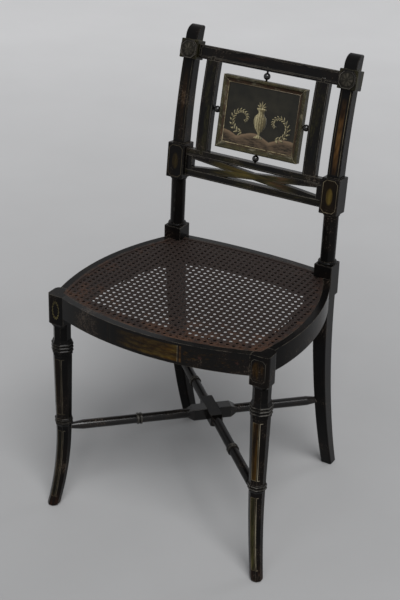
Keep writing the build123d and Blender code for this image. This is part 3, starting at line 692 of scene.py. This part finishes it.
def stretcher_layers(leg):
    """Gilt crests for the stretcher that starts at the left or right front leg."""
    low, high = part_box("stretcher_" + leg)
    turn = atan2(high.y - low.y, high.x - low.x)

    def layers(x, y, z, nx, ny, nz):
        dx = x - low.x if leg == "left" else x * -1 + high.x
        dy = y - low.y
        along = dx * cos(turn) + dy * sin(turn)
        across = dy * cos(turn) - dx * sin(turn)
        radius = length2(across, z - stretcher_z)
        crests = above(radius, 10.5 * MM, 0.7 * MM) * above(abs(along - cross_along), cross_clear)
        return [(crests * 0.7, 0.50, GREY_LINE)]
    return layers


for leg, brown, shine in (("left", 0.8, 0.3), ("right", 0.5, 0.08)):
    dress(painted("worn_stretcher_" + leg, brown, stretcher_layers(leg), shine=shine),
          "stretcher_" + leg)

# %% Paterae
DULL_OLIVE = ((0.020, 0.018, 0.013), (0.009, 0.008, 0.006))
GREY_OLIVE = ((0.085, 0.075, 0.058), (0.030, 0.027, 0.021))
patera_z = 822.7 * MM


def patera_layers(x, y, z, nx, ny, nz):
    """Dull olive rubbed all over the ornament, greyer on its petals, and a thin line round it."""
    u = abs(x) - post_x
    v = up_back(z, patera_z)
    front = on_front(ny)
    border = stroke(panel_distance(u, v, 16 * MM, 16 * MM, 8 * MM), 1.3 * MM, 0.9 * MM)
    field = below(length2(u, v), 14 * MM, 2 * MM)
    petals = (v.math("ARCTAN2", u) * 8).math("COSINE") * 0.5 + 0.5
    leafy = petals * stroke(length2(u, v), 7.5 * MM, 9 * MM, 2 * MM)
    return [(field * front, 0.10, DULL_OLIVE), (leafy * front * 0.8, 0.45, GREY_OLIVE),
            (border * front, 0.2, GREY_LINE)]


dress(painted("rubbed_patera", 0.6, patera_layers), "patera_left", "patera_right")

# %% Glossy balls
# The same black, polished twice as smooth and with no worn edge, since a ball has none.
material, vector = new_material("gloss_black_ball")
base = vector.through(aged_black, Brown=0.3)
gloss_black = set_finish(material, base["Color"], base["Roughness"] * 0.5)
SIDES = ("top", "bottom", "left", "right")
dress(gloss_black, *["tablet_ball_" + side for side in SIDES])

# %% [markdown]
# ## The tablet's frame
# The small moulding was gilded all over, then toned brown. Rubbing has laid the outer edge bare
# and left the hollow dull olive, with a few streaks of pale gold along the sticks. All of it is
# color on the CAD sticks, ruled by the distance from the frame's inner lip.

# %% Places on the tablet
tablet_width, tablet_height, moulding_width = 170.5 * MM, 136.6 * MM, 12 * MM
half_w, half_h = tablet_width / 2 - moulding_width, tablet_height / 2 - moulding_width
panel_face = back_recess + 5 * MM
tablet_place = back_place(tablet_z, panel_face)
print("tablet opening", round(2 * half_w, 4), "x", round(2 * half_h, 4))

# %% Toned gilt moulding
material, vector = new_material("toned_gilt_moulding")
x, _, z, *_ = surface(vector)
from_lip = panel_distance(x, up_back(z, tablet_z), half_w, half_h, 0) * -1
patches = vector.noise(60, 4).ramp(0.35, 0.65)
olive = patches.mix((0.014, 0.013, 0.005), (0.040, 0.033, 0.012))
reddish = patches.mix((0.022, 0.012, 0.006), (0.050, 0.026, 0.012))
color = from_lip.ramp(3.5 * MM, 6 * MM).mix(reddish, olive)
streak = vector.stretched((60, 300, 60)).noise(1, 4).ramp(0.54, 0.76)
color = streak.mix(color, (0.15, 0.135, 0.09))
loss = vector.noise(240, 4, 0.7).ramp(0.54, 0.66)
color = loss.mix(color, (0.010, 0.007, 0.004))
edges = vector.through(edge_wear, Width=2.2 * MM, Amount=0.9)["Mask"]
color = edges.mix(color, (0.23, 0.20, 0.13))
rough, metal = patches * 0.15 + 0.38, loss * -0.15 + 0.2
toned_gilt = set_finish(material, color, rough, loss * -1, 0.08 * MM, metal, 0.25)
dress(toned_gilt, *["tablet_moulding_" + side for side in SIDES])

# %% [markdown]
# Along the moulding's inner lip runs a gilt bead, thin as a cord. A circle could be extruded
# round the corners, but a closed curve with a round section goes round them by itself. It is
# turned into a mesh, and the same helper later makes the stems of the scrolls.

# %% Turning a mesh into a piece
def add_object(name, data):
    """Puts a mesh, curve, lamp or camera in the scene."""
    made = bpy.data.objects.new(name, data)
    bpy.context.scene.collection.objects.link(made)
    return made


def to_mesh(name, bm, material):
    mesh = bpy.data.meshes.new(name)
    bm.to_mesh(mesh)
    bm.free()
    mesh.materials.append(material)
    return mesh


def finish_piece(name, bm, material, place=None):
    """Turns a bmesh into a smooth piece that rides with the chair."""
    if place is not None:
        bmesh.ops.transform(bm, matrix=place, verts=bm.verts)
    mesh = to_mesh(name, bm, material)
    mesh.shade_smooth()
    piece = add_object(name, mesh)
    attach(piece, "root")
    print(name, len(mesh.polygons), "faces")
    return piece


def wire_piece(name, points, radius, closed, material, place):
    """A round-sectioned wire through points of the tablet's plane, made a mesh."""
    curve = bpy.data.curves.new(name, "CURVE")
    curve.dimensions = "3D"
    curve.bevel_depth = radius
    curve.bevel_resolution = 2
    spline = curve.splines.new("POLY")
    spline.points.add(len(points) - 1)
    for point, (x, y, z) in zip(spline.points, points):
        point.co = (x, y, z, 1)
    spline.use_cyclic_u = closed
    holder = add_object(name + "_curve", curve)
    mesh = bpy.data.meshes.new_from_object(holder)
    bpy.data.objects.remove(holder)
    bm = bmesh.new()
    bm.from_mesh(mesh)
    bpy.data.meshes.remove(mesh)
    return finish_piece(name, bm, material, place)


# %% Gold of the bead
bead_radius, bead_stands = 0.9 * MM, 1.0 * MM
# Painted highlight along the foot and the left side, the sides of the lip that face the light, and
# painted shade on the top and the right.
material, vector = new_material("bead_gold")
x, _, z, *_ = surface(vector)
kept = either(below(z, tablet_z - 50 * MM), below(x, -half_w + 4 * MM) * 0.7)
tone = vector.noise(150, 4).ramp(0.35, 0.62) * (kept * 0.85 + 0.15)
color = tone.mix((0.050, 0.033, 0.015), (0.44, 0.37, 0.21))
loss = vector.noise(560, 3, 0.7).ramp(0.56, 0.64)
color = loss.mix(color, (0.03, 0.02, 0.010))
bead_gold = set_finish(material, color, loss * 0.3 + 0.42, loss * -1, 0.03 * MM, tone * 0.2 + 0.1)
corners = [(-half_w, 0, -half_h), (half_w, 0, -half_h), (half_w, 0, half_h), (-half_w, 0, half_h)]
wire_piece("tablet_bead", corners, bead_radius, True, bead_gold,
           back_place(tablet_z, panel_face - bead_stands))

# %% [markdown]
# ## The painted tablet
# The board is nearly black, with a little warm earth painted along its foot. On it stands a
# garden urn between two leafy scrolls, a stock subject of painted furniture. Gold figures on such
# boards are laid in slightly raised gesso, so the urn is a real turned form pressed almost flat,
# and each leaf is a thin pointed blade with a crease down its middle.

# %% Ground of the board
hill_foot, mound_height = 43.5 * MM, 10 * MM
material, vector = new_material("painted_board")
x, y, z, _, ny, _ = surface(vector)
height = up_back(z, tablet_z)
mottle = vector.noise(38, 5)
color = mottle.ramp(0.35, 0.7).mix((0.009, 0.0085, 0.006), (0.020, 0.018, 0.012))
mounds = abs((x * 46 + 0.55).math("COSINE")) * mound_height
hill = (mounds + (mottle - 0.5) * (9 * MM)) - hill_foot
earth = below(height - hill, 0.0, 1.6 * MM) * below(ny, -0.5, 0.1)
brushed = vector.stretched((90, 60, 420)).noise(1, 5, 0.65)
crest = ((hill - height) + (brushed - 0.5) * (14 * MM)).ramp(9 * MM, -1 * MM)
tone = brushed.ramp(0.38, 0.62) * 0.35 + crest * 0.65
soil = tone.mix((0.014, 0.010, 0.006), (0.27, 0.185, 0.115))
color = (earth * 0.9).mix(color, soil)
board_ground = set_finish(material, color, mottle * 0.25 + 0.28, mottle, 0.05 * MM, shine=0.25)
dress(board_ground, "tablet_panel")

# %% Gold of the figures
# Painted light and shade on the relief: cream where a form faces the upper left, dark olive where
# it faces away.
material, vector = new_material("figure_gold")
x, _, _, nx, _, nz = surface(vector)
turned = (nx * -4.5 + nz * 1.6).ramp(-0.75, 0.75)
flutes = (x / (0.75 * MM)).math("SINE") * 0.16
tone = turned * 0.8 + vector.noise(330, 4, 0.65) * 0.9 + flutes - 0.42
color = tone.ramp(0.0, 0.5).mix((0.020, 0.017, 0.007), (0.105, 0.082, 0.032))
color = tone.ramp(0.5, 1.0).mix(color, (0.40, 0.35, 0.20))
loss = vector.noise(480, 3, 0.7).ramp(0.60, 0.67)
color = loss.mix(color, (0.018, 0.014, 0.009))
figure_gold = set_finish(material, color, loss * 0.3 + 0.42, loss * -1, 0.03 * MM)
print(figure_gold.name, len(figure_gold.node_tree.nodes), "nodes")

# %% Urn in low relief
relief = 1.6 * MM
urn_outline = [(9, -38), (9, -36), (5, -34), (2.2, -31), (2.8, -27), (8, -22), (12, -14),
               (13.4, -5), (12, 2), (7, 7), (5.6, 10), (6.6, 13), (10, 16), (10, 18), (0.2, 18.5)]
urn_belly = max(r for r, z in urn_outline) * MM
# A turned urn: its outline spun round, pressed flat and cut through the middle.
bm = bmesh.new()
points = [bm.verts.new((r * MM, 0, z * MM)) for r, z in urn_outline]
edges = [bm.edges.new(pair) for pair in zip(points, points[1:])]
bmesh.ops.spin(bm, geom=points + edges, cent=(0, 0, 0), axis=(0, 0, 1), angle=tau, steps=28,
               use_merge=True)
bmesh.ops.scale(bm, vec=(1, relief / urn_belly, 1), verts=bm.verts)
everything = bm.verts[:] + bm.edges[:] + bm.faces[:]
bmesh.ops.bisect_plane(bm, geom=everything, plane_co=(0, 0, 0), plane_no=(0, 1, 0),
                       clear_outer=True)
bmesh.ops.recalc_face_normals(bm, faces=bm.faces)
finish_piece("tablet_urn", bm, figure_gold, tablet_place)


# %% A leaf and a scroll
def add_leaf(bm, root, angle, length, width):
    """A pointed leaf in low relief: a grid drawn in to its two ends, with a raised midrib."""
    made = bmesh.ops.create_grid(bm, x_segments=6, y_segments=2, size=1)["verts"]
    for vert in made:
        t = (vert.co.x + 1) / 2
        side = vert.co.y
        body = sin(pi * t ** 0.8) * width / 2
        rise = -relief * 0.55 * sin(pi * t) * (1 - 0.75 * abs(side)) - 0.05 * MM
        vert.co = Vector((t * length, rise, side * body))
    turn = Matrix.Rotation(-angle, 4, "Y")
    bmesh.ops.transform(bm, matrix=Matrix.Translation((root[0], 0, root[1])) @ turn, verts=made)


def scroll_point(t, side):
    """A place along the scroll: out from the urn's foot, up, and curling home."""
    turn = radians(-100 + 330 * t)
    radius = (23 - 15 * t) * MM
    centre = (side * (39 - 2 * t) * MM, (-11 + 6 * t) * MM)
    return centre[0] + side * radius * cos(turn), centre[1] + radius * sin(turn)


print("a scroll starts at", [round(c, 4) for c in scroll_point(0, 1)])

# %% Leaves and stems
leaves_each, stem_steps, spread = 16, 40, 0.7
urn_mouth = 18 * MM
# Leaves in pairs along both scrolls, shorter as they curl in, and five from the urn.
bm = bmesh.new()
for side in (-1, 1):
    for k in range(leaves_each):
        t = k / leaves_each
        here, ahead = scroll_point(t, side), scroll_point(t + 0.02, side)
        along = atan2(ahead[1] - here[1], ahead[0] - here[0])
        length = (11 - 6 * t) * MM
        for turn in (spread, -spread):
            add_leaf(bm, here, along + turn, length, length * 0.34)
for angle in (30, 60, 90, 120, 150):
    length = (8 + 6 * sin(radians(angle))) * MM
    add_leaf(bm, (0, urn_mouth), radians(angle), length, 3.6 * MM)
finish_piece("tablet_leaves", bm, figure_gold, tablet_place)
for side, word in ((-1, "left"), (1, "right")):
    stem = [scroll_point(k / stem_steps, side) for k in range(stem_steps + 1)]
    wire_piece("tablet_stem_" + word, [(x, -0.1 * MM, z) for x, z in stem], 0.5 * MM, False,
               figure_gold, tablet_place)

# %% [markdown]
# ## Weaving the seat
# The seat is woven from six sets of cane strands. Two run from front to back and two from side to
# side in pairs, and one set crosses them in each diagonal direction, which cuts the corners of the
# square gaps and leaves eight-sided holes. Each strand is a thin strip with a rounded top that
# dips and rises where it passes under and over the others. Its ends are worked out from the bowed
# edge of the seat and the rear posts, so the whole field fits its bed.

# %% The bowed edge
cane_pitch = 12.2 * MM
edge_inset = (13 + 0.3 + 3.5) * MM      # the rim, a clearance and most of the binding
front_bow, side_bow, back_bow = 522 * MM, 450 * MM, 1143 * MM
side_x, widest_y, back_y = (228 - 450) * MM, front_y + 164 * MM, front_y + 408 * MM
bows = [
    (0, front_y + front_bow, front_bow),
    (side_x, widest_y, side_bow),
    (-side_x, widest_y, side_bow),
    (0, back_y - back_bow, back_bow),
]
post_edge_x, post_edge_y = post_in - 0.5 * MM, post_y - 0.5 * MM
TINY = 1e-9


def strand_span(start, way):
    """First and last distance along a line that lie inside all four bows and off the posts."""
    first, last = -1.0, 1.0
    for cx, cy, radius in bows:
        to = start - Vector((cx, cy))
        reach = radius - edge_inset
        b = to.dot(way)
        inside = b * b - to.length_squared + reach * reach
        if inside <= 0:
            return None
        first, last = max(first, -b - sqrt(inside)), min(last, -b + sqrt(inside))
    return off_posts(start, way, first, last)


def off_posts(start, way, first, last):
    """Shortens a span whose ends run into the corner that a rear post takes."""
    ends = []
    for t, ahead in ((first, -1), (last, 1)):
        at = start + way * t
        if at.y > post_edge_y and abs(at.x) > post_edge_x:
            stops = []
            if abs(way.y) > TINY:
                stops.append((post_edge_y - start.y) / way.y)
            if abs(way.x) > TINY:
                stops.append((post_edge_x * (1 if at.x > 0 else -1) - start.x) / way.x)
            stops = [s for s in stops if s * ahead <= t * ahead + TINY]
            if not stops:
                return None
            t = max(stops) if ahead > 0 else min(stops)
        ends.append(t)
    return (ends[0], ends[1]) if ends[1] - ends[0] > cane_pitch / 2 else None


ALONG, ACROSS = Vector((0, 1)), Vector((1, 0))
print("middle strand runs from", [round(t, 4) for t in strand_span(Vector((0, 0)), ALONG)])

# %% One strand
strand_width, strand_thickness, crown_height = 3.25 * MM, 0.45 * MM, 0.16 * MM
pair_offset, weave_rise = 1.82 * MM, 0.45 * MM
weave_z = rim_z - 1.28 * MM


def add_strand(bm, start, way, wave):
    """A strip along a line, with a crowned top, that follows a wave up and down."""
    span = strand_span(start, way)
    if span is None:
        return 0
    first, last = span
    steps = max(2, round((last - first) / (cane_pitch / 4)))
    across = Vector((-way.y, way.x))
    made = bmesh.ops.create_grid(bm, x_segments=steps, y_segments=2, size=1)["verts"]
    for vert in made:
        side = vert.co.y
        at = start + way * (first + (last - first) * (vert.co.x + 1) / 2)
        spot = at + across * (side * strand_width / 2)
        crown = crown_height * (1 - side * side)
        vert.co = Vector((spot.x, spot.y, weave_z + wave(at.x, at.y) + crown))
    return 1


def lift(value):
    """1 at a hole line of the grid, falling to 0 half way to the next."""
    return 0.5 + 0.5 * cos(tau * value / cane_pitch)


print("a long strand rises and dips", round(2 * weave_rise / MM, 2), "mm")

# %% [markdown]
# The cane has been stained nearly black, and sitters have rubbed it back to red-brown at the
# front and, in patches, all along the rim. Fibres run along each strand. The color follows places
# on the seat, so it is painted with the same object coordinates as the wood.

# %% Cane finish
FINE, LONG, BOTH = 1900, 70, 500


def make_cane(name, grain):
    """Dark cane, worn red where sitters slide; grain stretches the fibres along the strand."""
    material, vector = new_material(name)
    x, y, *_ = surface(vector)
    rub = vector.noise(48, 5, 0.65)
    near_front = (y * -1 - abs(x) * 0.35 + x * 0.5).ramp(0.08, 0.25)
    near_rim = length2(x, y).ramp(0.12, 0.23) * 0.6
    worn = (either(near_front, near_rim) * 0.45 + rub).ramp(0.72, 1.08)
    fibre = vector.stretched(grain).noise(1, 3, 0.6)
    dark = fibre.mix((0.003, 0.0022, 0.002), (0.030, 0.018, 0.014))
    red = fibre.ramp(0.3, 0.7).mix((0.012, 0.005, 0.003), (0.115, 0.052, 0.026))
    color = worn.mix(dark, red)
    return set_finish(material, color, fibre * 0.3 + 0.38, fibre, 0.05 * MM, shine=0.15)


cane_long = make_cane("cane_front_to_back", (FINE, LONG, FINE))
cane_cross = make_cane("cane_side_to_side", (LONG, FINE, FINE))
cane_plain = make_cane("cane_diagonal", (BOTH, BOTH, FINE))
dress(cane_plain, "cane_binding")


# %% Where the strands run
def long_wave(side):
    """The two strands of a pair part at each crossing: one goes over, its partner under."""
    return lambda x, y: side * weave_rise * lift(y)


def flat_wave(x, y):
    return 0.0


def slanted_wave(sign):
    """A diagonal strand goes over at one line and under half way to the next."""
    return lambda x, y: sign * weave_rise * (2 * lift(x) - 1)


RISING, FALLING = Vector((1, 1)).normalized(), Vector((1, -1)).normalized()
pairs_out, slants_out = 19, 33      # on each side of the middle, enough to fill every corner
pairs = [(k * cane_pitch + side * pair_offset, side)
         for k in range(-pairs_out, pairs_out + 1) for side in (-1, 1)]
slants = [Vector(((k + 0.5) * cane_pitch, 0)) for k in range(-slants_out, slants_out)]
long_lines = [(Vector((at, 0)), ALONG, long_wave(side)) for at, side in pairs]
cross_lines = [(Vector((0, at)), ACROSS, flat_wave) for at, side in pairs]
rising_lines = [(start, RISING, slanted_wave(1)) for start in slants]
falling_lines = [(start, FALLING, slanted_wave(-1)) for start in slants]
print(len(pairs), "lines each way and", len(slants), "on each slant")


# %% Six sets of strands in four pieces
def weave(name, material, lines):
    """Strands of one direction as one piece; lines gives start, way and wave of each."""
    bm = bmesh.new()
    count = sum(add_strand(bm, start, way, wave) for start, way, wave in lines)
    piece = finish_piece(name, bm, material)
    wall = piece.modifiers.new("thickness", "SOLIDIFY")
    wall.thickness = strand_thickness
    wall.offset = -1
    print(name, count, "strands")
    return piece


long_strands = weave("cane_strands_long", cane_long, long_lines)
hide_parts("cane_panel")
weave("cane_strands_cross", cane_cross, cross_lines)
weave("cane_strands_rising", cane_plain, rising_lines)
weave("cane_strands_falling", cane_plain, falling_lines)

# %% [markdown]
# ## Room, light and camera
# The light is plain and soft: a broad key from the right, in front and above, a weak fill from
# the front and another from behind. Polished black shows little but what it mirrors, so the floor
# and the room are pale to every ray that shows them, straight, by way of the polish or through
# glass, and dim only in the light that they bounce. The floor is painted grey near the chair, a
# painted shade around it, and paler further off. The camera stands in front and to the right, at
# eye height, and looks down.

# %% Rays that show the room
SHOWING = ("Is Camera Ray", "Is Glossy Ray", "Is Transmission Ray")


def showing_rays(tree):
    """1 for rays that show the room and 0 for the diffuse light that it bounces."""
    path = fields(add_node(tree, "LightPath", {}))
    return either(*[path[kind] for kind in SHOWING])


print("the room shows to", len(SHOWING), "kinds of ray")

# %% Floor
material, vector = new_material("pale_floor")
x, y, *_ = surface(vector)
# Painted shade: the floor is darker near the chair, in what it shows and in what it bounces.
away = length2(x, y).ramp(0.5, 3.2)
mottle = vector.noise(3, 6)
painted_shade_near = mottle.mix((0.34, 0.34, 0.342), (0.39, 0.39, 0.393))
far = mottle.mix((0.60, 0.60, 0.605), (0.66, 0.66, 0.666))
shown = away.mix(painted_shade_near, far)
dim = away.mix((0.055, 0.055, 0.055), (0.15, 0.15, 0.153))
set_finish(material, showing_rays(material.node_tree).mix(dim, shown), 0.75)
bm = bmesh.new()
bmesh.ops.create_grid(bm, x_segments=1, y_segments=1, size=20)
floor = add_object("floor", to_mesh("floor", bm, material))
print("floor", round(floor.dimensions.x), "m wide")


# %% Lights
def add_lamp(kind, name, place, target, **settings):
    """A lamp that shines from a place to a target; the settings go to its data."""
    data = bpy.data.lights.new(name, kind)
    for label, value in settings.items():
        setattr(data, label, value)
    lamp = add_object(name, data)
    lamp.location = place
    lamp.rotation_euler = (Vector(target) - Vector(place)).to_track_quat("-Z", "Y").to_euler()
    print(name, "lamp,", kind.lower(), round(data.energy, 2))


add_lamp("SUN", "key", (0.75, -0.80, 1.5), (0, 0, 0), angle=radians(30), energy=2.3)
add_lamp("AREA", "fill", (0.2, -2.1, 2.5), (0, 0, 0.4), shape="DISK", size=1.2, energy=12,
         color=(0.96, 0.98, 1.0))
add_lamp("AREA", "back", (1.2, 1.9, 1.9), (0, 0, 0.5), shape="DISK", size=1.0, energy=6,
         color=(0.97, 0.98, 1.0))

# %% World
ROOM_DIM, ROOM_SHOWN = 0.3, 0.6
world = bpy.data.worlds.new("pale_room")
world.use_nodes = True
background = world.node_tree.nodes["Background"]
feed(background.inputs["Color"], (0.93, 0.94, 0.96))
strength = showing_rays(world.node_tree) * (ROOM_SHOWN - ROOM_DIM) + ROOM_DIM
feed(background.inputs["Strength"], strength)
bpy.context.scene.world = world
bpy.context.scene.view_settings.view_transform = "Standard"
print("world", world.name, "strength", ROOM_DIM, "or", ROOM_SHOWN)

# %% Camera
camera_place = Vector((1.1448, -2.0640, 1.6005))
yaw, pitch, roll = radians(29.478), radians(26.615), radians(1.639)
focal_pixels, image_height = 1431.1, 600
SENSOR = 36.0      # millimetres along the image's longer side, its height
# It looks along a direction given by yaw and pitch, and is then rolled about it.
ahead = Vector((-sin(yaw) * cos(pitch), cos(yaw) * cos(pitch), -sin(pitch)))
right = Vector((cos(yaw), sin(yaw), 0))
up = right.cross(ahead)
rolled_right = right * cos(roll) + up * sin(roll)
rolled_up = up * cos(roll) - right * sin(roll)
data = bpy.data.cameras.new("camera")
data.sensor_width = SENSOR
data.lens = focal_pixels / image_height * SENSOR
camera = add_object("camera", data)
turn = Matrix((rolled_right, rolled_up, -ahead)).transposed()
camera.matrix_world = Matrix.Translation(camera_place) @ turn.to_4x4()
bpy.context.scene.camera = camera
print("lens", round(data.lens, 2), "mm")
